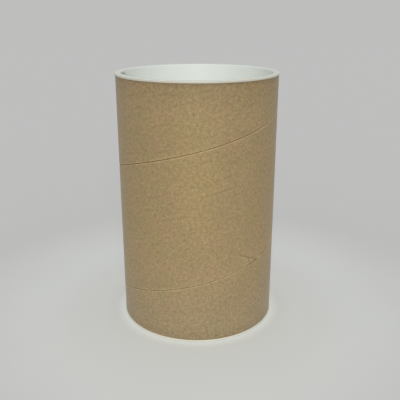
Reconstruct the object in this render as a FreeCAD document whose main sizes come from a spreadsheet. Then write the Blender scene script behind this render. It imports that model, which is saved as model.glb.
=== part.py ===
import FreeCAD, Part
import math
import os
import Sketcher
from FreeCAD import Placement, Rotation, Vector

# A spiral-wound cardboard mailing tube with a white plastic plug cap pressed into each end.
# It stands on its lower cap: the origin is on the floor, on the tube's axis, and +Z points up.
# All sizes are in millimetres and all angles in degrees.

# Driving dimensions of the wound tube
SIZES = {
    "tube_diameter": 129.0,  # outside the wound wall
    "wall": 2.5,  # all the plies together
    "tube_length": 203.2,  # between the two cut ends
    "ply_width": 101.6,  # the strip of kraft paper that makes the outer ply
    "seam_height": 154.7,  # where the outer seam crosses the front, above the tube's foot
    "lining_seam_height": 102.0,  # the same for the seam of the innermost ply
    "seam_gap": 0.7,  # between a strip's two edges, where they meet side by side
    "seam_depth": 0.4,  # one ply
    # Driving dimensions of the plug cap
    "flange_overhang": 0.4,  # past the tube's outside
    "flange_thickness": 1.8,
    "flange_bevel": 0.5,
    "lip_bevel": 1.0,  # where the flange turns down into the recess
    "skirt_clearance": 0.35,  # between skirt and bore, at the flange
    "skirt_wall": 1.6,
    "skirt_taper": 0.6,  # how much the radius draws in towards the tip
    "plug_depth": 22.0,  # from the flange's seat to the plug's tip
    "lead_in": 1.4,
    "floor_thickness": 1.6,
    "floor_bevel": 1.5,
    "rib_clearance": 0.05,  # the grip ribs just fill the bore
    "rib_width": 1.6,
    "rib_lead": 5.0,  # the sloped start of each rib
    "rib_stop": 2.5,  # bare skirt between a rib's end and the flange
    "notch_bite": 1.8,  # how far the lifting notch cuts into the flange's ring
    "notch_radius": 10.0,
    "notch_depth": 1.1,
    "gate_radius": 3.0,  # the dimple where the plastic was let into the mould
    "gate_depth": 0.4,
}
RIBS = 16
FRONT_TURN = 0.75  # a seam starts at the right-hand side, and the front is this much of a turn on
RUN_OUT = 12.0  # how far a seam's cut runs past each end of the tube, so that it leaves no blind end
TOP_CAP_TURN = -162.0  # where each cap's notch faces
BOTTOM_CAP_TURN = 35.0

doc = FreeCAD.newDocument("MailingTube")
sheet = doc.addObject("Spreadsheet::Sheet", "Sheet")
for row, (alias, value) in enumerate(SIZES.items(), start=1):
    sheet.set(f"A{row}", alias)
    sheet.set(f"B{row}", str(value))
    sheet.setAlias(f"B{row}", alias)
doc.recompute()

# Radii and heights that several pieces share, as expressions on the sheet
TUBE = "Sheet.tube_diameter / 2"
BORE = f"({TUBE} - Sheet.wall)"
FLANGE = f"({TUBE} + Sheet.flange_overhang)"
SKIRT = f"({BORE} - Sheet.skirt_clearance)"
SKIRT_TIP = f"({SKIRT} - Sheet.skirt_taper)"
RECESS = f"({SKIRT} - Sheet.skirt_wall)"
RECESS_FOOT = f"({SKIRT_TIP} - Sheet.skirt_wall)"
RIB = f"({BORE} - Sheet.rib_clearance)"
CAP_TOP = "(Sheet.plug_depth + Sheet.flange_thickness)"
# The strip's width is measured across the strip, and the pitch along the tube's axis
TURN_SINE = "(Sheet.ply_width / (pi * Sheet.tube_diameter))"
PITCH = f"(Sheet.ply_width / sqrt(1 - {TURN_SINE}^2))"


def plane(body, role):
    """One of the body's own origin planes or axes, by its role."""
    return next(f for f in body.Origin.OriginFeatures if f.Role == role)


def new_sketch(body, name, role):
    sketch = body.newObject("Sketcher::SketchObject", name)
    sketch.AttachmentSupport = [(plane(body, role), "")]
    sketch.MapMode = "FlatFace"
    return sketch


def place_point(sketch, line, across, up):
    """Ties a line's first point to its two coordinates, where 0 means on the axis."""
    for kind, axis, size in (("DistanceX", -2, across), ("DistanceY", -1, up)):
        if size == 0:
            sketch.addConstraint(Sketcher.Constraint("PointOnObject", line, 1, axis))
        else:
            index = sketch.addConstraint(Sketcher.Constraint(kind, -1, 1, line, 1, 1.0))
            sketch.setExpression(f"Constraints[{index}]", size)


def outline(sketch, corners):
    """A closed outline of straight lines through corners given as pairs of expressions."""
    count = len(corners)
    # The lines start round a circle, and the constraints then pull each corner to its place
    circle = [
        Vector(2 + math.cos(2 * math.pi * k / count), 2 + math.sin(2 * math.pi * k / count), 0)
        for k in range(count)
    ]
    for k in range(count):
        sketch.addGeometry(Part.LineSegment(circle[k], circle[(k + 1) % count]), False)
    for k in range(count):
        sketch.addConstraint(Sketcher.Constraint("Coincident", k, 2, (k + 1) % count, 1))
    for k, (across, up) in enumerate(corners):
        place_point(sketch, k, across, up)


def circle_at(sketch, radius, across=0):
    """A circle of the given radius, centred on the sketch's origin or out along its first axis."""
    index = sketch.addGeometry(Part.Circle(Vector(0, 0, 0), Vector(0, 0, 1), 1.0), False)
    if across == 0:
        sketch.addConstraint(Sketcher.Constraint("Coincident", index, 3, -1, 1))
    else:
        sketch.addConstraint(Sketcher.Constraint("PointOnObject", index, 3, -1))
        place = sketch.addConstraint(Sketcher.Constraint("DistanceX", -1, 1, index, 3, 1.0))
        sketch.setExpression(f"Constraints[{place}]", across)
    size = sketch.addConstraint(Sketcher.Constraint("Radius", index, 1.0))
    sketch.setExpression(f"Constraints[{size}]", radius)


def rings(feature):
    """Each full circular edge of a turned shape, as its radius, its height and its name."""
    found = []
    for number, edge in enumerate(feature.Shape.Edges, start=1):
        if isinstance(edge.Curve, Part.Circle) and edge.isClosed():
            found.append((round(edge.Curve.Radius, 4), round(edge.Curve.Center.z, 4), f"Edge{number}"))
    return found


def bevel_edges(body, name, base, edges, size):
    bevel = body.newObject("PartDesign::Chamfer", name)
    bevel.Base = (base, edges)
    bevel.setExpression("Size", size)
    doc.recompute()
    return bevel


def butt_seam(body, name, height, inner_radius, outer_radius):
    """Cuts the gap between a strip's two edges, as one helix that runs out of both ends of the tube."""
    # Whole turns are added until the helix starts well below the tube's foot
    whole_turns = f"ceil(({height} + {RUN_OUT}) / {PITCH} - {FRONT_TURN})"
    rise = f"(({whole_turns} + {FRONT_TURN}) * {PITCH})"
    section = new_sketch(body, f"{name}_section", "XZ_Plane")
    section.setExpression("AttachmentOffset.Base.y", f"{height} - {rise}")
    outline(
        section,
        [
            (inner_radius, 0),
            (outer_radius, 0),
            (outer_radius, "Sheet.seam_gap"),
            (inner_radius, "Sheet.seam_gap"),
        ],
    )
    seam = body.newObject("PartDesign::SubtractiveHelix", name)
    seam.Profile = section
    seam.ReferenceAxis = (section, ["V_Axis"])
    seam.Mode = "pitch-height-angle"
    seam.HasBeenEdited = True
    seam.LeftHanded = False
    seam.setExpression("Pitch", PITCH)
    seam.setExpression("Height", f"Sheet.tube_length - {height} + {rise} + {RUN_OUT}")
    doc.recompute()
    body.Tip = seam


def wound_tube():
    """The tube's wall, with the butt seams that its outer and innermost plies leave."""
    body = doc.addObject("PartDesign::Body", "tube")
    body.Label = "tube"

    ring = new_sketch(body, "wall_ring", "XY_Plane")
    circle_at(ring, TUBE)
    circle_at(ring, BORE)
    wall = body.newObject("PartDesign::Pad", "wall")
    wall.Profile = ring
    wall.setExpression("Length", "Sheet.tube_length")
    doc.recompute()

    # Each cut reaches as far outside the wall as it does into it
    depth = "Sheet.seam_depth"
    butt_seam(body, "seam", "Sheet.seam_height", f"{TUBE} - {depth}", f"{TUBE} + {depth}")
    butt_seam(body, "lining_seam", "Sheet.lining_seam_height", f"{BORE} - {depth}", f"{BORE} + {depth}")
    body.setExpression("Placement.Base.z", "Sheet.flange_thickness")
    return body


def plug_cap(label, turn, upside_down, seat):
    """A moulded plug cap, drawn with its tip at height 0 and its flange at the top."""
    body = doc.addObject("PartDesign::Body", label)
    body.Label = label

    section = new_sketch(body, f"{label}_section", "XZ_Plane")
    outline(
        section,
        [
            (0, 0),
            (f"{SKIRT_TIP} - Sheet.lead_in", 0),
            (SKIRT_TIP, "Sheet.lead_in"),
            (SKIRT, "Sheet.plug_depth"),
            (FLANGE, "Sheet.plug_depth"),
            (FLANGE, CAP_TOP),
            (RECESS, CAP_TOP),
            (RECESS_FOOT, "Sheet.floor_thickness"),
            (0, "Sheet.floor_thickness"),
        ],
    )
    shell = body.newObject("PartDesign::Revolution", f"{label}_shell")
    shell.Profile = section
    shell.ReferenceAxis = (section, ["V_Axis"])
    shell.Angle = 360.0
    doc.recompute()

    # The flange's two outer edges are the widest rings of the shape
    found = rings(shell)
    widest = max(radius for radius, height, name in found)
    rim = [name for radius, height, name in found if radius == widest]
    last = bevel_edges(body, f"{label}_rim_bevel", shell, rim, "Sheet.flange_bevel")

    # The mouth of the recess is the narrowest ring at the cap's top
    found = rings(last)
    top = max(height for radius, height, name in found)
    mouth = min((radius, name) for radius, height, name in found if height == top)[1]
    last = bevel_edges(body, f"{label}_lip_bevel", last, [mouth], "Sheet.lip_bevel")

    # The corner of the recess's floor is the narrowest ring above the plug's tip
    found = rings(last)
    corner = min((radius, name) for radius, height, name in found if height > 0)[1]
    last = bevel_edges(body, f"{label}_floor_bevel", last, [corner], "Sheet.floor_bevel")

    # One grip rib, seen from its side, then all of them round the skirt
    rib_root = f"{SKIRT_TIP} - Sheet.skirt_wall / 4"
    rib_end = "Sheet.plug_depth - Sheet.rib_stop"
    side = new_sketch(body, f"{label}_rib_side", "XZ_Plane")
    outline(
        side,
        [
            (rib_root, "Sheet.lead_in"),
            (RIB, "Sheet.lead_in + Sheet.rib_lead"),
            (RIB, rib_end),
            (rib_root, rib_end),
        ],
    )
    rib = body.newObject("PartDesign::Pad", f"{label}_rib")
    rib.Profile = side
    rib.SideType = "Symmetric"
    rib.setExpression("Length", "Sheet.rib_width")
    doc.recompute()
    ribs = body.newObject("PartDesign::PolarPattern", f"{label}_ribs")
    ribs.Originals = [rib]
    ribs.Axis = (plane(body, "Z_Axis"), [""])
    ribs.Angle = 360.0
    ribs.Occurrences = RIBS
    body.Tip = ribs
    doc.recompute()

    # The lifting notch is a shallow scoop in the flange's inner edge
    scoop = new_sketch(body, f"{label}_notch_outline", "XY_Plane")
    scoop.setExpression("AttachmentOffset.Base.z", CAP_TOP)
    circle_at(scoop, "Sheet.notch_radius", f"{RECESS} + Sheet.notch_bite - Sheet.notch_radius")
    notch = body.newObject("PartDesign::Pocket", f"{label}_notch")
    notch.Profile = scoop
    notch.setExpression("Length", "Sheet.notch_depth")
    doc.recompute()

    # The moulding gate is a dimple in the middle of the recess's floor
    gate = new_sketch(body, f"{label}_gate_outline", "XY_Plane")
    gate.setExpression("AttachmentOffset.Base.z", "Sheet.floor_thickness")
    circle_at(gate, "Sheet.gate_radius")
    dimple = body.newObject("PartDesign::Pocket", f"{label}_gate")
    dimple.Profile = gate
    dimple.setExpression("Length", "Sheet.gate_depth")
    doc.recompute()
    body.Tip = dimple

    flip = Rotation(Vector(1, 0, 0), 180 if upside_down else 0)
    body.Placement = Placement(Vector(0, 0, 0), Rotation(Vector(0, 0, 1), turn).multiply(flip))
    body.setExpression("Placement.Base.z", seat)
    return body


bodies = [
    wound_tube(),
    plug_cap(
        "top_cap",
        TOP_CAP_TURN,
        False,
        "Sheet.flange_thickness + Sheet.tube_length - Sheet.plug_depth",
    ),
    plug_cap("bottom_cap", BOTTOM_CAP_TURN, True, "Sheet.flange_thickness + Sheet.plug_depth"),
]
doc.recompute()

for item in doc.Objects:
    if "Invalid" in item.State or "Error" in item.State:
        raise RuntimeError(f"{item.Name} could not be made: {item.State}")
for body in bodies:
    if body.Shape.isNull() or not body.Shape.isValid() or len(body.Shape.Solids) != 1:
        raise RuntimeError(f"{body.Label} is not one sound solid")

os.makedirs("parts", exist_ok=True)
for body in bodies:
    body.Shape.exportStep(f"parts/{body.Label}.step")
    box = body.Shape.optimalBoundingBox(False, False)
    print(
        f"{body.Label}: {body.Shape.Volume:.0f} mm3, {len(body.Shape.Faces)} faces, "
        f"{box.XLength:.2f} x {box.YLength:.2f} x {box.ZLength:.2f} mm from z {box.ZMin:.2f}"
    )
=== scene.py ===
# %% [markdown]
# A spiral-wound mailing tube with a plug cap in each end
#
# The real tube is made by winding strips of kraft paper round a steel mandrel, each layer glued to the
# one below it. The outer strip meets its own edge once in every turn, and that leaves the slanting seams.
# A white plastic cap is pressed into each cut end, so that only its thin flange and its deep recess show.
#
# The engineering model is loaded first. It says where each piece stands and how the caps pull out, and it
# stays as it is. The pieces made here stand in the same places and carry the finish.

# %% Load the frame
import math

import bmesh
import bpy
from mathutils import Matrix, Vector


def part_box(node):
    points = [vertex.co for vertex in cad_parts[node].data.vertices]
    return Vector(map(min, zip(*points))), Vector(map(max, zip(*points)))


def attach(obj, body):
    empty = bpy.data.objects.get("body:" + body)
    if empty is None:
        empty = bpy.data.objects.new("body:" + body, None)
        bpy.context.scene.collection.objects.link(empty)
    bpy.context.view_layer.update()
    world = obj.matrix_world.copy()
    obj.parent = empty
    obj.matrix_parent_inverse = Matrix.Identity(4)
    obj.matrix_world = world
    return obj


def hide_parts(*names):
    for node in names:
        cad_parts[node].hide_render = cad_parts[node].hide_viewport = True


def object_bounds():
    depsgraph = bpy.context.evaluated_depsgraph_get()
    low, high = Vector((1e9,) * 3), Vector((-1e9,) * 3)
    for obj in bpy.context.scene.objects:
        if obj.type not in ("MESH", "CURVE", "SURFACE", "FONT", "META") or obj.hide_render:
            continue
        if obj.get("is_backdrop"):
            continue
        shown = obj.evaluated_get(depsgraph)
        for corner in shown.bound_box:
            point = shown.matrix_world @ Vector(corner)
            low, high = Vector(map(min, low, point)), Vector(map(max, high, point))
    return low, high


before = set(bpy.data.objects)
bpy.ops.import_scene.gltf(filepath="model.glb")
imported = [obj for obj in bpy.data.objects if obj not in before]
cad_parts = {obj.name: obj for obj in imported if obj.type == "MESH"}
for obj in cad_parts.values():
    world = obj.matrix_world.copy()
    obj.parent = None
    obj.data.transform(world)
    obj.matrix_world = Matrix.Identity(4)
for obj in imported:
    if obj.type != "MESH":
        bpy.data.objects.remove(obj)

cad_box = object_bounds()

# %% [markdown]
# Sizes
#
# The outside sizes are read from the frame, rounded to a tenth of a millimetre, because its round walls
# are made of short flats. The rest are the maker's sizes for board, strip and cap, in millimetres. The
# strip's width is measured square across it, so one turn climbs a little more than that width.

# %% Sizes of the tube
MM = 0.001


def to_tenths(length):
    return round(length, 4)


tube_low, tube_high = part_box("tube")
RADIUS = to_tenths(tube_high.x)
FOOT = to_tenths(tube_low.z)
TOP = to_tenths(tube_high.z)
WALL = 2.5 * MM
BORE = RADIUS - WALL
PLY = 0.4 * MM
STRIP_WIDTH = 101.6 * MM
SEAM_GAP = 0.7 * MM
SEAM_HEIGHT = 154.7 * MM
LINING_SEAM_HEIGHT = 102.0 * MM
STEPS = 240

turn_sine = STRIP_WIDTH / (2 * math.pi * RADIUS)
turn_cosine = math.sqrt(1 - turn_sine**2)
CLIMB = STRIP_WIDTH / turn_cosine
print(f"tube {2000 * RADIUS:.1f} mm across, {1000 * (TOP - FOOT):.1f} mm long")
print(f"one turn climbs {1000 * CLIMB:.2f} mm, at {math.degrees(math.asin(turn_sine)):.1f} degrees")

# %% [markdown]
# The camera
#
# The camera comes early, because every look at the pieces needs it. It stands level with a point a little
# above the tube's top and looks down on it by 19 degrees, so that the recess shows as a flat ellipse and
# the foot as a rounder one. A small turn and a small roll are those of a camera held by hand. Each turn is
# made about the camera's own axes, one after the other, by multiplying matrices. The focal length is
# written as a share of the sensor's width.

# %% Camera
CAMERA_PLACE = Vector((0.0, -448.7, 252.8)) * MM
LOOK_DOWN = math.radians(18.954)
TURN_RIGHT = math.radians(0.265)
ROLL = math.radians(-0.157)
SENSOR_WIDTH = 36.0
FOCAL_SHARE = 554.1 / 400

lens = bpy.data.cameras.new("camera")
lens.sensor_width = SENSOR_WIDTH
lens.lens = SENSOR_WIDTH * FOCAL_SHARE
camera = bpy.data.objects.new("camera", lens)
camera.matrix_world = (
    Matrix.Translation(CAMERA_PLACE)
    @ Matrix.Rotation(math.pi / 2 - LOOK_DOWN, 4, "X")
    @ Matrix.Rotation(-TURN_RIGHT, 4, "Y")
    @ Matrix.Rotation(ROLL, 4, "Z")
)
bpy.context.scene.collection.objects.link(camera)
bpy.context.scene.camera = camera
print(f"lens {lens.lens:.1f} mm on a {SENSOR_WIDTH:.0f} mm sensor")

# %% [markdown]
# Shader sums as plain Python
#
# A pattern such as paper is mostly arithmetic: so much of this noise, less of that one, and no lower than
# nought. Drawn as nodes that is a web of small boxes, so one small class holds a socket and turns each
# operator into its Math node. Any other node comes from its `add` method, which makes the settings first,
# because they decide which sockets the node has. Colours go through Mix nodes, as a Math node would turn
# them grey.

# %% Sockets with operators
class Wire:
    """The output of one node, on which Python's operators add Math nodes."""

    def __init__(self, tree, socket=None):
        self.tree = tree
        self.socket = socket

    def add(self, kind, settings=None, inputs=None, output=0):
        """Adds a node: first its settings, then the values or links of its sockets."""
        node = self.tree.nodes.new(kind)
        for name, value in (settings or {}).items():
            setattr(node, name, value)
        for name, value in (inputs or {}).items():
            if isinstance(value, Wire):
                self.tree.links.new(value.socket, node.inputs[name])
            else:
                node.inputs[name].default_value = value
        return Wire(self.tree, node.outputs[output] if len(node.outputs) else None)

    def math(self, operation, *values):
        return self.add("ShaderNodeMath", {"operation": operation}, dict(enumerate(values)))

    def __add__(self, other):
        return self.math("ADD", self, other)

    def __sub__(self, other):
        return self.math("SUBTRACT", self, other)

    def __rsub__(self, other):
        return self.math("SUBTRACT", other, self)

    def __mul__(self, other):
        return self.math("MULTIPLY", self, other)

    def __truediv__(self, other):
        return self.math("DIVIDE", self, other)

    __radd__ = __add__
    __rmul__ = __mul__


print("a Wire understands + - * and /")


# %% Colours and patterns
def ramp(wire, low, high):
    """0 below low, 1 above high and a smooth rise between them. With low above high it falls instead."""
    return wire.add(
        "ShaderNodeMapRange",
        {"interpolation_type": "SMOOTHSTEP"},
        {"Value": wire, "From Min": low, "From Max": high},
    )


def blend_colours(share, first, second):
    """A colour that goes from the first to the second as the share goes from 0 to 1."""
    factor, colour_a, colour_b, result = 0, 6, 7, 2
    return share.add(
        "ShaderNodeMix",
        {"data_type": "RGBA"},
        {factor: share, colour_a: first, colour_b: second},
        result,
    )


def brighten(colour, amount):
    """A colour times a number that varies over the surface."""
    vector = colour if isinstance(colour, Wire) else colour[:3]
    return amount.add(
        "ShaderNodeVectorMath", {"operation": "SCALE"}, {"Vector": vector, "Scale": amount}
    )


def stretched(place, along, across, turn=0.0):
    """Measures a place in steps of the given sizes, in metres, on axes that are turned in its plane."""
    return place.add(
        "ShaderNodeMapping",
        {"vector_type": "TEXTURE"},
        {"Vector": place, "Rotation": (0, 0, turn), "Scale": (along, across, across)},
    )


def spot(place, centre, reach, slant):
    """The distance from a long spot's centre, counted in its own reaches, so that 1 is its edge."""
    off = place.add(
        "ShaderNodeMapping",
        {"vector_type": "TEXTURE"},
        {"Vector": place, "Location": centre, "Rotation": slant, "Scale": reach},
    )
    return off.add("ShaderNodeVectorMath", {"operation": "LENGTH"}, {0: off}, "Value")


def cloud(place, size=1.0, detail=2.0, roughness=0.5):
    """Soft noise about 0, mostly from -0.2 to 0.2, with lumps of the given size."""
    noise = place.add(
        "ShaderNodeTexNoise",
        {},
        {"Vector": place, "Scale": 1 / size, "Detail": detail, "Roughness": roughness},
    )
    return noise - 0.5


def number_of(vector, axis):
    """One of the three numbers of a vector, chosen by its axis."""
    return vector.add("ShaderNodeSeparateXYZ", {}, {"Vector": vector}, axis)


def from_axis(place):
    """The distance of a place from the tube's axis."""
    level = place.add("ShaderNodeVectorMath", {"operation": "MULTIPLY"}, {0: place, 1: (1, 1, 0)})
    return level.add("ShaderNodeVectorMath", {"operation": "LENGTH"}, {0: level}, "Value")


print("pattern helpers: ramp, blend_colours, brighten, stretched, spot, cloud, number_of and from_axis")


# %% The start and the end of a material
def new_material(name):
    """An empty material, and a wire that starts nodes in it."""
    material = bpy.data.materials.new(name)
    material.use_nodes = True
    material.node_tree.nodes.clear()
    return material, Wire(material.node_tree)


def finish_material(start, colour, roughness, height, **constants):
    """Ends a material: a shader with its constants set, a bump from heights in metres, and the output."""
    normal = start.add("ShaderNodeBump", {}, {"Height": height, "Strength": 1.0, "Distance": 1.0})
    inputs = {"Base Color": colour, "Roughness": roughness, "Normal": normal}
    inputs.update({name.replace("_", " "): value for name, value in constants.items()})
    shader = start.add("ShaderNodeBsdfPrincipled", {}, inputs)
    start.add("ShaderNodeOutputMaterial", {}, {"Surface": shader})


print("material helpers: new_material and finish_material")

# %% [markdown]
# Kraft paper
#
# Brown kraft paper is unbleached wood fibre. Close up it is a felt of fine fibres that lie mostly along
# the strip, a little darker and paler in soft flocs of a few millimetres, with a dark splinter here and
# there. From a step away that is a faint mottle, so the flocs do most of the work and the fibres add the
# grain. An image would blur when the camera comes close and would show where it repeats, so the pattern is
# built from noise, and it is laid out on the strip itself: its UV map holds the distance along the strip
# and across it, in metres.
#
# Wear and painted light come on top. The strip's two edges are paler along the seam, partly from scuffed
# and pressed paper and partly from a painted highlight where the seam's lips catch the light, and they have
# small tears. Painted shade darkens the paper towards the top and beside each flange, and near the foot
# it is painted darker and greyer as shade. A painted highlight makes a broad paler, yellower patch on the
# front. A small fold runs into the lower seam on the right. Its crease is painted dark as shade, with a
# paler side of painted light, it has a tiny triangle of lifted paper in its corner, and painted shade
# darkens the seam beside it. The patch and the fold are long ellipses on the flat of the wall, laid out by
# the distance round it and the height, and soft noise makes the edges of the fold uneven.

# %% Marks on the paper
def long_spot(to_right, height, length, width, slant=0):
    """A spot's centre, reaches and slant, from numbers in millimetres and a slant in degrees."""
    centre = (to_right * MM, height * MM, 0)
    reach = (length * MM, width * MM, 1)
    return centre, reach, (0, 0, math.radians(slant))


# Painted highlight: a broad paler, yellower patch on the front of the wall.
HIGHLIGHT_PATCH = long_spot(-2.0, 148.0, 28.0, 75.0)
FOLD_AND_SEAM_SHADE = [
    # The first two lines are the fold's crease, painted dark as the shade in it.
    long_spot(42.1, 68.7, 17.0, 0.60, -25),
    long_spot(43.6, 66.0, 3.6, 0.72, -63),
    # These two are painted shade in the seam's gap beside the fold.
    long_spot(47.4, 62.8, 8.0, 0.90, 13),
    long_spot(63.5, 66.9, 9.0, 0.90, 13),
]
# Painted light on the fold's paler, lit side.
FOLD_LIT_SIDE = long_spot(41.0, 67.4, 13.0, 2.6, -25)
LIFTED_PAPER = long_spot(46.4, 65.0, 3.2, 1.6, -30)


def flat_wall(place):
    """The round wall laid flat: x is the distance round it from the front and y the height, in metres."""
    angle = place.math("ARCTAN2", number_of(place, "X"), 0 - number_of(place, "Y"))
    return place.add("ShaderNodeCombineXYZ", {}, {"X": RADIUS * angle, "Y": number_of(place, "Z")})


def fold_marks(wall):
    """Painted shade lines, the fold's painted lit side and its lifted paper, each 1 on it and 0 off it."""
    wobble = 0.9 * cloud(wall, 4 * MM, detail=1.0)
    lines = sum(ramp(spot(wall, *line) + wobble, 1.0, 0.5) for line in FOLD_AND_SEAM_SHADE)
    side = ramp(spot(wall, *FOLD_LIT_SIDE) + wobble, 1.0, 0.4)
    lifted = ramp(spot(wall, *LIFTED_PAPER) + wobble, 1.0, 0.4)
    return lines, side, lifted


def splinters_on(strip):
    """Short dark spots, 1 on a splinter and 0 off it. Only some of the pattern's cells hold one."""
    cells = stretched(strip, 6.5 * MM, 3.4 * MM)
    spots = {"Vector": cells, "Scale": 1.0, "Randomness": 1.0}
    nearness = strip.add("ShaderNodeTexVoronoi", {"voronoi_dimensions": "2D"}, spots, "Distance")
    lot = strip.add("ShaderNodeTexVoronoi", {"voronoi_dimensions": "2D"}, spots, "Color")
    drawn = strip.add("ShaderNodeSeparateColor", {}, {"Color": lot}, "Red")
    return ramp(nearness, 0.12, 0.06) * ramp(drawn, 0.72, 0.80)


def fibres(strip, turn, cover):
    """Thin streaks that are about 2 mm long and a tenth of a millimetre wide, 1 on a fibre and 0 off it."""
    lie = stretched(strip, 2.2 * MM, 0.14 * MM, turn)
    return ramp(cloud(lie, detail=1.0), 0.16 - cover, 0.24 - cover)


print("marks on the wall:", len(FOLD_AND_SEAM_SHADE), "fold lines, one lifted corner, one aged patch")

# %% Kraft paper
KRAFT = (0.386, 0.287, 0.135, 1)
RED_KRAFT = (0.408, 0.284, 0.141, 1)
# The colour of the painted highlight: paler and yellower than the paper.
HIGHLIGHT_KRAFT = (0.448, 0.324, 0.134, 1)
# The colour of the painted shade near the foot: darker and greyer than the paper.
FOOT_SHADE = (0.355, 0.290, 0.185, 1)
DARK_FIBRE = (0.245, 0.165, 0.075, 1)
PALE_FIBRE = (0.600, 0.485, 0.290, 1)
SPLINTER = (0.150, 0.098, 0.048, 1)


def kraft_paper():
    material, start = new_material("kraft_paper")
    strip = start.add("ShaderNodeUVMap", {"uv_map": "strip"})
    across = number_of(strip, "Y")
    place = start.add("ShaderNodeTexCoord", output="Object")
    height = number_of(place, "Z")
    wall = flat_wall(place)

    flocs = cloud(strip, 2.3 * MM, detail=3.0, roughness=0.6)
    grain = cloud(strip, 0.8 * MM, detail=2.0)
    blotches = cloud(strip, 21 * MM, detail=2.0)
    rolling_lines = cloud(stretched(strip, 90 * MM, 1.5 * MM), detail=1.0)
    # The strip's edges along the seam are paler from scuffed and pressed paper and from a painted highlight
    # where the seam's lips catch the light.
    scuffed_and_highlit_edge = ramp(across, STRIP_WIDTH - 1.8 * MM, STRIP_WIDTH - 0.7 * MM)
    pressed_and_highlit_edge = ramp(across, 1.2 * MM, 0.5 * MM)
    both_edges = ramp(across, 1.9 * MM, 0.9 * MM)
    both_edges = both_edges + ramp(across, STRIP_WIDTH - 2.1 * MM, STRIP_WIDTH - 1.1 * MM)
    torn = both_edges * ramp(cloud(strip, 2.6 * MM), 0.03, 0.12)
    # Painted shade: the paper darkens beside each flange, towards the top and near the foot.
    flange_shade = ramp(height, TOP - 3.0 * MM, TOP - 1.0 * MM) + ramp(height, FOOT + 12 * MM, FOOT)
    top_shade = ramp(height, TOP - 24 * MM, TOP)
    foot = ramp(height, 80 * MM, 0.0)

    tone = 1 + 1.02 * flocs + 0.75 * grain + 0.12 * blotches + 0.14 * rolling_lines
    tone = tone + 0.34 * scuffed_and_highlit_edge + 0.14 * pressed_and_highlit_edge - 0.12 * flange_shade
    tone = tone - 0.10 * top_shade - 0.12 * foot
    warmth = ramp(cloud(strip, 13 * MM, detail=2.0), -0.15, 0.15)
    clean = blend_colours(warmth, KRAFT, RED_KRAFT)
    # Painted highlight on the front of the wall.
    painted_highlight = ramp(spot(wall, *HIGHLIGHT_PATCH), 1.0, 0.2)
    clean = blend_colours(0.5 * painted_highlight, clean, HIGHLIGHT_KRAFT)
    # Painted shade near the foot, darker and greyer.
    colour = brighten(blend_colours(0.30 * foot, clean, FOOT_SHADE), tone)

    dark = fibres(strip, math.radians(14), 0.02)
    pale = fibres(strip, math.radians(-24), 0.0)
    colour = blend_colours(0.30 * dark, colour, DARK_FIBRE)
    colour = blend_colours(0.30 * pale, colour, PALE_FIBRE)
    colour = blend_colours(0.30 * torn, colour, PALE_FIBRE)
    # Painted shade in the fold and the seam, and painted light on the fold's side.
    fold, fold_lit_side, lifted = fold_marks(wall)
    colour = blend_colours(0.16 * fold_lit_side + 0.22 * lifted, colour, PALE_FIBRE)
    colour = blend_colours(0.75 * fold, colour, DARK_FIBRE)
    colour = blend_colours(0.6 * splinters_on(strip), colour, SPLINTER)

    relief = 0.040 * MM * flocs + 0.025 * MM * grain + 0.006 * MM * (dark + pale)
    relief = relief + 0.06 * MM * lifted - 0.05 * MM * fold
    roughness = 0.62 + 0.25 * flocs - 0.06 * scuffed_and_highlit_edge
    finish_material(start, colour, roughness, relief, Specular_IOR_Level=0.45, Sheen_Weight=0.12)
    return material


paper = kraft_paper()
print("kraft paper:", len(paper.node_tree.nodes), "nodes")

# %% [markdown]
# Core board
#
# The layers below the outer strip are duller recycled board. They show in two places: as the floor of the
# seam, which is painted dark as the shade in the gap, and at the two cut ends, where the saw leaves a pale
# rough edge with a fine line between each layer and the next. The lines come from the distance to the
# tube's axis, so they are true rings at both ends.

# %% Core board
# The seam's floor, painted dark as the shade in the gap.
SEAM_SHADE_BOARD = (0.215, 0.146, 0.067, 1)
SAWN_BOARD = (0.330, 0.255, 0.155, 1)
PLY_LINE = (0.150, 0.105, 0.058, 1)


def seam_shade_board():
    material, start = new_material("seam_shade_board")
    place = start.add("ShaderNodeTexCoord", output="Object")
    smears = cloud(place, 4 * MM, detail=3.0)
    # Painted shade: the dark floor of the seam.
    colour = brighten(SEAM_SHADE_BOARD, 1 + 1.4 * smears)
    finish_material(start, colour, 0.7 + 0.5 * smears, 0.05 * MM * cloud(place, 1 * MM))
    return material


def sawn_board():
    material, start = new_material("sawn_board")
    place = start.add("ShaderNodeTexCoord", output="Object")
    fuzz = cloud(place, 0.5 * MM, detail=3.0, roughness=0.65)
    layers = (RADIUS - from_axis(place)) / PLY + 0.35 * fuzz
    between = layers.math("PINGPONG", layers, 0.5)
    line = ramp(between, 0.12, 0.0)
    colour = brighten(SAWN_BOARD, 1 + 0.7 * fuzz + 0.3 * cloud(place, 4 * MM))
    colour = blend_colours(0.7 * line, colour, PLY_LINE)
    finish_material(start, colour, 0.92 + 0.1 * fuzz, 0.06 * MM * fuzz - 0.03 * MM * line)
    return material


seam_shade_side = seam_shade_board()
cut_side = sawn_board()
print("board materials:", seam_shade_side.name, "and", cut_side.name)

# %% [markdown]
# Making a strip wind
#
# A wound strip is a helix with a flat section. It could be a curve with a profile, but a curve twists its
# profile as it climbs, and its ends can't be sawn square. `bmesh.ops.spin` does just what the winding
# machine does: it turns the strip's section about the axis and lifts it a little at each step. The strip
# starts below the foot and ends above the top, and `bisect_plane` then saws both ends off.
#
# Each corner remembers how far across the strip it is, in a layer that the spin copies. Its height less
# that distance says how far round it has gone, and that gives the UV map: flat paper, in metres.
#
# No winding is quite even. So the whole strip sags a little below its helix, and more so near the foot,
# the gap of its seam closes slightly lower down, and its upper edge runs in small waves.

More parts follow.
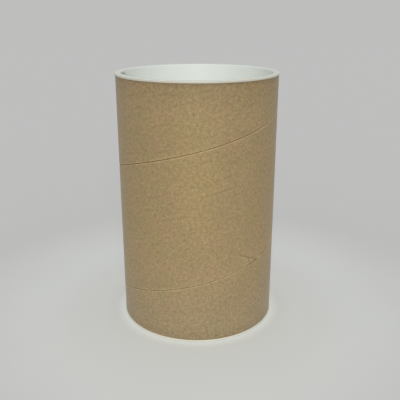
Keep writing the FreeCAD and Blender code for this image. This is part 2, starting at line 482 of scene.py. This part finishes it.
# %% Strip
FRONT_TURN = 0.75
SAW_SPARE = 4 * MM
SAW_TOUCH = 1e-7
EDGE_ROUND = 0.14 * MM
CUT = 1
SAG = 0.4 * MM
MORE_SAG = 0.8 * MM
SAG_GROWS_BELOW = 150 * MM
SAG_GROWS_OVER = 90 * MM
CLOSING = 0.05 * MM
CLOSING_BELOW = 110 * MM
# The waves of the upper edge: their size and the height in which they turn by one radian
EDGE_WAVES = [(0.07 * MM, 7.3 * MM), (0.05 * MM, 3.1 * MM)]


def saw(bm, height, **side):
    """Cuts a bmesh off square at a height, drops one side and closes the cut with sawn faces."""
    whole = bm.verts[:] + bm.edges[:] + bm.faces[:]
    cut = bmesh.ops.bisect_plane(
        bm, geom=whole, dist=SAW_TOUCH, plane_co=(0, 0, height), plane_no=(0, 0, 1), **side
    )
    edges = [part for part in cut["geom_cut"] if isinstance(part, bmesh.types.BMEdge)]
    filled = bmesh.ops.triangle_fill(bm, edges=edges, use_beauty=True, use_dissolve=False)
    for part in filled["geom"]:
        if isinstance(part, bmesh.types.BMFace):
            part.material_index = CUT


def unroll(bm, across, start):
    """Lays the UV map: x is the distance along the strip and y the distance across it, in metres."""
    uv = bm.loops.layers.uv.new("strip")
    for face in bm.faces:
        for loop in face.loops:
            up = loop.vert[across]
            turns = (loop.vert.co.z - up - start) / CLIMB
            along = turns * 2 * math.pi * RADIUS / turn_cosine + up * turn_sine
            loop[uv].uv = (along, up * turn_cosine)


def clamped(value):
    """The value, held between 0 and 1."""
    return min(max(value, 0), 1)


def let_seam_wander(bm, across):
    """Lets the strip sag below its helix, closes its seam a little and leaves its upper edge uneven."""
    for vert in bm.verts:
        height = vert.co.z
        closing = CLOSING * (1 - clamped(height / CLOSING_BELOW))
        unevenness = sum(size * math.sin(height / pace) for size, pace in EDGE_WAVES)
        sag = SAG + MORE_SAG * clamped((SAG_GROWS_BELOW - height) / SAG_GROWS_OVER)
        upper_edge = vert[across] > STRIP_WIDTH / 2
        vert.co.z += (closing + unevenness if upper_edge else -closing) - sag


print(f"seam: {1000 * SEAM_GAP:.1f} mm wide, sagging {1000 * SAG:.1f} to {1000 * (SAG + MORE_SAG):.1f} mm")


# %% Winding
def wound_strip(inner, outer, seam_height, shown):
    """One ply: a strip between two radii, whose seam crosses the front at a height above the foot."""
    at_side = FOOT + seam_height + SEAM_GAP - FRONT_TURN * CLIMB
    turns_below = math.ceil((at_side - FOOT + SAW_SPARE) / CLIMB) + 1
    start = at_side - turns_below * CLIMB
    turns = (TOP + SAW_SPARE - start) / CLIMB
    rise = CLIMB - SEAM_GAP

    bm = bmesh.new()
    across = bm.verts.layers.float.new("across")
    corners = []
    for radius, up in ((inner, 0), (outer, 0), (outer, rise), (inner, rise)):
        corner = bm.verts.new((radius, 0, start + up))
        corners.append(corner)
    bm.faces.new(corners)
    outside = [corner for corner in corners if abs(corner.co.x - shown) < 0.1 * PLY]
    bmesh.ops.bevel(
        bm, geom=outside, affect="VERTICES", offset=EDGE_ROUND, segments=3, profile=0.5, material=-1
    )
    for vert in bm.verts:
        vert[across] = vert.co.z - start

    bmesh.ops.spin(
        bm,
        geom=bm.verts[:] + bm.edges[:] + bm.faces[:],
        cent=(0, 0, 0),
        axis=(0, 0, 1),
        dvec=(0, 0, CLIMB / STEPS),
        angle=2 * math.pi * math.ceil(turns * STEPS) / STEPS,
        steps=math.ceil(turns * STEPS),
    )
    bmesh.ops.recalc_face_normals(bm, faces=bm.faces)
    unroll(bm, across, start)
    let_seam_wander(bm, across)
    saw(bm, FOOT, clear_inner=True)
    saw(bm, TOP, clear_outer=True)
    bmesh.ops.recalc_face_normals(bm, faces=bm.faces)
    return bm


print(f"winding: {STEPS} steps a turn, each {1000 * CLIMB / STEPS:.2f} mm up")

# %% [markdown]
# The tube's wall
#
# Three closed shells make the wall: the outer strip, the core and the lining strip. They are glued face to
# face on the real tube, so here they share their radii and become one piece. The core is turned on a
# lathe, which is a spin with no climb. Its section has a fine groove between each layer and the next at
# both ends, so that the plies can be counted there when a cap is out.
#
# A strip's face is as wide as the strip, and its rounded edges are a tenth of a millimetre. Smooth shading
# would lean the normals that they share and leave a step of brightness at every turn. So a Weighted Normal
# modifier lets the large faces set them.

# %% Core
CORE_PLIES = 4
PLY_GROOVE = 0.05 * MM
TOUCH = 0.001 * MM
GLUED = 2


def lathe(outline, closed):
    """Turns an outline, given as pairs of radius and height, once round the tube's axis."""
    bm = bmesh.new()
    corners = [bm.verts.new((radius, 0, height)) for radius, height in outline]
    pairs = list(zip(corners, corners[1:]))
    if closed:
        pairs.append((corners[-1], corners[0]))
    edges = [bm.edges.new(pair) for pair in pairs]
    bmesh.ops.spin(
        bm,
        geom=corners + edges,
        cent=(0, 0, 0),
        axis=(0, 0, 1),
        angle=2 * math.pi,
        steps=STEPS,
        use_merge=True,
    )
    bmesh.ops.remove_doubles(bm, verts=bm.verts, dist=TOUCH)
    bmesh.ops.recalc_face_normals(bm, faces=bm.faces)
    return bm


def core(inner, outer):
    """The plies between the outer strip and the lining, with grooves between them at the sawn ends."""
    thickness = (outer - inner) / CORE_PLIES
    outline = []
    for end, inwards in ((FOOT, 1), (TOP, -1)):
        face = [(outer, end)]
        for k in range(1, CORE_PLIES):
            between = outer - k * thickness
            face.append((between + PLY_GROOVE, end))
            face.append((between, end + inwards * PLY_GROOVE))
            face.append((between - PLY_GROOVE, end))
        face.append((inner, end))
        outline += face if inwards > 0 else face[::-1]
    bm = lathe(outline, closed=True)
    for face in bm.faces:
        face.material_index = CUT if abs(face.normal.z) > 0.5 else GLUED
    return bm


print(f"core: {CORE_PLIES} plies, {1000 * (WALL - 2 * PLY):.1f} mm thick")

# %% Wound wall
CRISP = math.radians(35)


def joined(shells):
    """One mesh from several bmeshes, each kept as a closed shell of its own."""
    whole = bmesh.new()
    for bm in shells:
        mesh = bpy.data.meshes.new("shell")
        bm.to_mesh(mesh)
        bm.free()
        whole.from_mesh(mesh)
        bpy.data.meshes.remove(mesh)
    return whole


def make_piece(name, bm, materials):
    """An object at the origin with its place in its mesh, smooth but for its crisp edges."""
    mesh = bpy.data.meshes.new(name)
    bm.to_mesh(mesh)
    bm.free()
    for material in materials:
        mesh.materials.append(material)
    mesh.shade_smooth()
    mesh.set_sharp_from_angle(angle=CRISP)
    piece = bpy.data.objects.new(name, mesh)
    bpy.context.scene.collection.objects.link(piece)
    return piece


def even_flats(piece):
    """Lets large faces set the normals that they share with small ones, so that they shade evenly."""
    weighted = piece.modifiers.new("even_flats", "WEIGHTED_NORMAL")
    weighted.keep_sharp = True


shells = [
    wound_strip(RADIUS - PLY, RADIUS, SEAM_HEIGHT, shown=RADIUS),
    core(BORE + PLY, RADIUS - PLY),
    wound_strip(BORE, BORE + PLY, LINING_SEAM_HEIGHT, shown=BORE),
]
wound_wall = make_piece("wound_wall", joined(shells), [paper, cut_side, seam_shade_side])
even_flats(wound_wall)
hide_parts("tube")
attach(wound_wall, "tube")
print("wound wall:", len(wound_wall.data.polygons), "faces")

# %% [markdown]
# White plastic
#
# The caps are moulded in soft white polyethylene. Fresh from the mould it has a low waxy sheen with a very
# fine texture, and handling adds faint scuffs. The colour is a slightly cool white, never pure white, so
# that its shading still shows, and it yellows towards the flange's outer edge, where hands and boxes rub
# it. A dark patch of painted shade sits on the upper cap's recess wall beside the lifting notch. It is a
# long thin ellipsoid in the cap's own Object coordinates, placed and slanted by a Mapping node.

# %% White plastic
WHITE_PLASTIC = (0.660, 0.692, 0.650, 1)
SCUFF = (0.650, 0.665, 0.615, 1)
# The colour of the painted shade beside the lifting notch.
NOTCH_SHADE = (0.170, 0.180, 0.160, 1)
YELLOWED = (0.710, 0.680, 0.560, 1)
NOTCH_SHADE_CENTRE = (-59.0 * MM, 7.0 * MM, 204.5 * MM)
NOTCH_SHADE_REACH = (4.0 * MM, 10.0 * MM, 1.0 * MM)
NOTCH_SHADE_SLANT = math.radians(-9)


def white_plastic():
    material, start = new_material("white_plastic")
    place = start.add("ShaderNodeTexCoord", output="Object")
    texture = cloud(place, 0.25 * MM, detail=2.0)
    flow = cloud(place, 14 * MM, detail=2.0)
    wear = cloud(place, 5 * MM, detail=4.0, roughness=0.7)
    scuffs = ramp(wear, 0.10, 0.22)
    colour = brighten(WHITE_PLASTIC, 1 + 0.06 * flow)
    colour = blend_colours(0.35 * scuffs, colour, SCUFF)

    outer_edge = ramp(from_axis(place), RADIUS - 1.8 * MM, RADIUS)
    colour = blend_colours(0.75 * outer_edge, colour, YELLOWED)

    # Painted shade on the recess wall beside the lifting notch.
    off_centre = spot(place, NOTCH_SHADE_CENTRE, NOTCH_SHADE_REACH, (NOTCH_SHADE_SLANT, 0, 0))
    notch_shade = ramp(off_centre + 0.8 * cloud(place, 2.5 * MM), 1.0, 0.5)
    colour = blend_colours(0.65 * notch_shade, colour, NOTCH_SHADE)
    roughness = 0.42 + 0.25 * flow + 0.12 * scuffs
    finish_material(start, colour, roughness, 0.006 * MM * texture + 0.004 * MM * wear)
    return material


plastic = white_plastic()
print("white plastic:", len(plastic.node_tree.nodes), "nodes")

# %% [markdown]
# The plug caps
#
# Both caps are the same moulding: a thin flange, a long tapered skirt with grip ribs, and a floor that
# closes it. A revolved shape like this is drawn once in section. Its rings are rounded next, while each is
# still a clean loop that can be found by its radius and height. The ribs come after: one flat in every
# fifteen of the skirt is pushed out to the bore, so that they belong to the same skin as the rest. In the
# middle of the floor is the gate, where the plastic flowed in: a small dimple with a stub in it.
#
# The lifting notch is cut with a Boolean, because its edge crosses the flange's own rings.

# %% Sizes of the cap
FLANGE = to_tenths(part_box("top_cap")[1].x)
FLANGE_THICKNESS = 1.8 * MM
SKIRT = BORE - 0.35 * MM
SKIRT_TIP = SKIRT - 0.6 * MM
SKIRT_WALL = 1.6 * MM
PLUG_DEPTH = 22 * MM
CAP_HEIGHT = PLUG_DEPTH + FLANGE_THICKNESS
FLOOR = 1.6 * MM
LEAD_IN = 1.4 * MM
RIBS = 16
RIB = BORE - 0.05 * MM
RIB_START = LEAD_IN + 0.5 * MM
RIB_FULL = LEAD_IN + 5 * MM
RIB_END = PLUG_DEPTH - 2.5 * MM
RIB_TIP = 0.15 * MM
RIB_ROUND = 0.1 * MM
NOTCH_RADIUS = 10 * MM
NOTCH_BITE = 1.8 * MM
NOTCH_DEPTH = 1.1 * MM
GATE = 3 * MM
GATE_SLOPE = 0.3 * MM
GATE_DEPTH = 0.4 * MM
STUB_FOOT = 0.9 * MM
STUB_EDGE = 0.7 * MM


def skirt_at(height):
    """The skirt's radius at a height above the plug's tip: it draws in towards the tip."""
    return SKIRT_TIP + (SKIRT - SKIRT_TIP) * (height - LEAD_IN) / (PLUG_DEPTH - LEAD_IN)


CAP_OUTLINE = [
    (0, 0),
    (SKIRT_TIP - LEAD_IN, 0),
    (SKIRT_TIP, LEAD_IN),
    (skirt_at(RIB_START), RIB_START),
    (skirt_at(RIB_FULL), RIB_FULL),
    (skirt_at(RIB_END), RIB_END),
    (SKIRT, PLUG_DEPTH),
    (FLANGE, PLUG_DEPTH),
    (FLANGE, CAP_HEIGHT),
    (SKIRT - SKIRT_WALL, CAP_HEIGHT),
    (SKIRT_TIP - SKIRT_WALL, FLOOR),
    (GATE, FLOOR),
    (GATE - GATE_SLOPE, FLOOR - GATE_DEPTH),
    (STUB_FOOT, FLOOR - GATE_DEPTH),
    (STUB_EDGE, FLOOR - 0.5 * GATE_DEPTH),
    (0, FLOOR - 0.4 * GATE_DEPTH),
]
# Each ring to round: its radius and height, the size of the rounding and the segments in it
ROUNDINGS = [
    (SKIRT_TIP - LEAD_IN, 0, 0.4 * MM, 3),
    (SKIRT_TIP, LEAD_IN, 0.4 * MM, 3),
    (FLANGE, PLUG_DEPTH, 0.35 * MM, 3),
    (FLANGE, CAP_HEIGHT, 0.5 * MM, 5),
    (SKIRT - SKIRT_WALL, CAP_HEIGHT, 1.0 * MM, 7),
    (SKIRT_TIP - SKIRT_WALL, FLOOR, 1.5 * MM, 7),
    (GATE, FLOOR, 0.2 * MM, 2),
]
print(f"plug skirt {2000 * SKIRT:.1f} mm across in a {2000 * BORE:.1f} mm bore")

# %% Cap mould
def ring_edges(bm, radius, height):
    """The edges of the full ring at a radius and a height."""

    def on_ring(vert):
        away = math.hypot(vert.co.x, vert.co.y) - radius
        return abs(away) < TOUCH and abs(vert.co.z - height) < TOUCH

    return [edge for edge in bm.edges if all(on_ring(vert) for vert in edge.verts)]


def push_out_ribs(bm):
    """Pushes one flat in fifteen of the skirt out to the bore, sloped at its tip end."""
    step = 2 * math.pi / STEPS
    chosen = []
    for face in bm.faces:
        centre = face.calc_center_median()
        flat = math.floor(math.atan2(centre.y, centre.x) / step)
        on_skirt = RIB_START < centre.z < RIB_END and math.hypot(centre.x, centre.y) > SKIRT_TIP - TOUCH
        if on_skirt and flat % (STEPS // RIBS) == 0:
            chosen.append(face)
    pushed = bmesh.ops.extrude_face_region(bm, geom=chosen)["geom"]
    for part in pushed:
        if isinstance(part, bmesh.types.BMVert):
            radius = math.hypot(part.co.x, part.co.y)
            wanted = RIB if part.co.z > RIB_FULL - TOUCH else radius + RIB_TIP
            part.co.x *= wanted / radius
            part.co.y *= wanted / radius
    faces = {part for part in pushed if isinstance(part, bmesh.types.BMFace)}
    rims = [edge for face in faces for edge in face.edges if not set(edge.link_faces) <= faces]
    bmesh.ops.bevel(
        bm,
        geom=list(set(rims)),
        affect="EDGES",
        offset=RIB_ROUND,
        segments=2,
        profile=0.5,
        material=-1,
    )


def cap_mould():
    """The cap with its tip at height 0, its flange at the top and its first rib centred on +X."""
    bm = lathe(CAP_OUTLINE, closed=False)
    for radius, height, size, segments in ROUNDINGS:
        bmesh.ops.bevel(
            bm,
            geom=ring_edges(bm, radius, height),
            affect="EDGES",
            offset=size,
            segments=segments,
            profile=0.5,
            material=-1,
        )
    push_out_ribs(bm)
    bmesh.ops.rotate(bm, verts=bm.verts, matrix=Matrix.Rotation(-math.pi / STEPS, 3, "Z"))
    bmesh.ops.recalc_face_normals(bm, faces=bm.faces)
    return bm


def notch_cutter():
    """A short cylinder that bites into the flange's inner edge on the +X side."""
    bm = bmesh.new()
    bmesh.ops.create_cone(
        bm,
        cap_ends=True,
        segments=128,
        radius1=NOTCH_RADIUS,
        radius2=NOTCH_RADIUS,
        depth=2 * NOTCH_DEPTH,
    )
    across = SKIRT - SKIRT_WALL + NOTCH_BITE - NOTCH_RADIUS
    bmesh.ops.translate(bm, verts=bm.verts, vec=(across, 0, CAP_HEIGHT))
    return bm


print(f"cap: {RIBS} ribs, {1000 * CAP_HEIGHT:.1f} mm deep, flange {2000 * FLANGE:.1f} mm across")


# %% Cut the notch and set each cap in its end
TOP_CAP_TURN = math.radians(-162)
BOTTOM_CAP_TURN = math.radians(35)


def plug_cap(name, node, turn, upside_down, seat):
    """Cuts the notch, then turns the cap over if it is the lower one and sets it in its end of the tube."""
    blank = make_piece(name + "_blank", cap_mould(), [plastic])
    cutter = make_piece(name + "_cutter", notch_cutter(), [plastic])
    boolean = blank.modifiers.new("lifting_notch", "BOOLEAN")
    boolean.object = cutter
    boolean.operation = "DIFFERENCE"
    boolean.solver = "EXACT"
    bpy.context.view_layer.update()
    cut = bmesh.new()
    cut.from_object(blank, bpy.context.evaluated_depsgraph_get())
    for spent in (blank, cutter):
        bpy.data.objects.remove(spent)

    flip = Matrix.Rotation(math.pi if upside_down else 0, 4, "X")
    place = Matrix.Translation((0, 0, seat)) @ Matrix.Rotation(turn, 4, "Z") @ flip
    bmesh.ops.transform(cut, matrix=place, verts=cut.verts)
    piece = make_piece(name, cut, [plastic])
    even_flats(piece)
    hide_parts(node)
    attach(piece, node)
    print(f"{name}: {len(piece.data.polygons)} faces")


plug_cap("upper_plug", "top_cap", TOP_CAP_TURN, False, TOP - PLUG_DEPTH)
plug_cap("lower_plug", "bottom_cap", BOTTOM_CAP_TURN, True, FOOT + PLUG_DEPTH)

# %% [markdown]
# Floor and light
#
# The floor is one wide pale sheet under the tube. Right round the foot it is painted palest, a painted
# glow that also lightens the tube's shadow there. Beyond that it grows a little darker with the distance
# from the tube, all round, so that it meets the background without a line on any side. What it throws
# back at the tube is duller than what the camera sees of it and fades away within a quarter of a metre, as
# a small table would throw it.
#
# The light is that of a bright room. The white sky gives more than half of it, so the recess and the back
# stay clear. The camera, and the shine on the surfaces, see a plain pale grey in place of that sky. A wide
# soft lamp stands in front, 22 degrees up, and shapes the round wall, and a faint one straight above draws
# the shadow on the floor. Together they make a colour look about as it is written.

# %% Floor
# Painted light: a pale glow on the floor right round the foot, which also lightens the tube's shadow there.
FOOT_GLOW = (0.815, 0.846, 0.820, 1)
# The colours further out: the distances from the middle at which each begins and is reached
FLOOR_BEYOND = [
    # The first of these is still part of the painted glow round the foot.
    (66 * MM, 75 * MM, (0.724, 0.740, 0.717, 1)),
    (66 * MM, 115 * MM, (0.678, 0.694, 0.678, 1)),
    (120 * MM, 260 * MM, (0.572, 0.577, 0.568, 1)),
]
BOUNCE_NEAR = (0.500, 0.500, 0.500, 1)
BOUNCE_FAR = (0.020, 0.020, 0.020, 1)
BOUNCE_FADES = (80 * MM, 240 * MM)
FLOOR_HALF_WIDTH = 4.0


def floor_sheet():
    material, start = new_material("floor_sheet")
    place = start.add("ShaderNodeTexCoord", output="Object")
    away = start.add("ShaderNodeVectorMath", {"operation": "LENGTH"}, {0: place}, "Value")
    colour = FOOT_GLOW
    for begin, reached, next_colour in FLOOR_BEYOND:
        colour = blend_colours(ramp(away, begin, reached), colour, next_colour)
    colour = brighten(colour, 1 + 0.03 * cloud(place, 60 * MM, detail=3.0))
    seen = start.add("ShaderNodeLightPath", output="Is Camera Ray")
    mirrored = start.add("ShaderNodeLightPath", output="Is Glossy Ray")
    bounce = blend_colours(ramp(away, *BOUNCE_FADES), BOUNCE_NEAR, BOUNCE_FAR)
    colour = blend_colours(seen.math("MAXIMUM", seen, mirrored), bounce, colour)
    finish_material(start, colour, 0.9, 0.01 * MM * cloud(place, 2 * MM), Specular_IOR_Level=0.0, IOR=1.0)
    return material


sheet = bmesh.new()
bmesh.ops.create_grid(sheet, x_segments=8, y_segments=8, size=FLOOR_HALF_WIDTH)
floor = make_piece("floor", sheet, [floor_sheet()])
floor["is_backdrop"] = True
print(f"floor: {2 * FLOOR_HALF_WIDTH:.0f} m wide")

# %% Light
SKY_LEVEL = 0.66
SKY_SEEN = (0.515, 0.519, 0.511, 1)
# Each lamp: its strength, then in degrees how high it stands, how far to the right and how soft it is
LAMPS = {
    "window": (1.50, 22, 1.0, 24),
    "ceiling": (0.20, 90, 0, 30),
}

world = bpy.data.worlds.new("room")
world.use_nodes = True
world.node_tree.nodes.clear()
sky = Wire(world.node_tree)
seen = sky.add("ShaderNodeLightPath", output="Is Camera Ray")
mirrored = sky.add("ShaderNodeLightPath", output="Is Glossy Ray")
lit = sky.add("ShaderNodeBackground", {}, {"Color": (1, 1, 1, 1), "Strength": SKY_LEVEL})
shown = sky.add("ShaderNodeBackground", {}, {"Color": SKY_SEEN, "Strength": 1.0})
background = seen.math("MAXIMUM", seen, mirrored)
mixed = sky.add("ShaderNodeMixShader", {}, {0: background, 1: lit, 2: shown})
sky.add("ShaderNodeOutputWorld", {}, {"Surface": mixed})
bpy.context.scene.world = world


def lamp(name, strength, height, to_right, softness):
    """A wide soft lamp far away, at angles given in degrees."""
    light = bpy.data.lights.new(name, "SUN")
    light.energy = strength
    light.angle = math.radians(softness)
    stand = bpy.data.objects.new(name, light)
    turn = Matrix.Rotation(math.radians(to_right), 4, "Z")
    stand.matrix_world = turn @ Matrix.Rotation(math.radians(90 - height), 4, "X")
    bpy.context.scene.collection.objects.link(stand)
    print(f"{name}: {height} degrees up, {softness} degrees wide")


for name, settings in LAMPS.items():
    lamp(name, *settings)
bpy.context.scene.view_settings.view_transform = "Standard"

# %% [markdown]
# Sizes of both boxes
#
# The caps' flanges and the tube's wall set the size, so the dressed model has to fill the same box as the
# engineering model. Both boxes are printed.

# %% Sizes and the end
dressed_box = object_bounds()
boxes = {"cad": cad_box, "visual": dressed_box}
for name, (low, high) in boxes.items():
    print(name, "box:", [round(1000 * side, 2) for side in high - low], "mm")
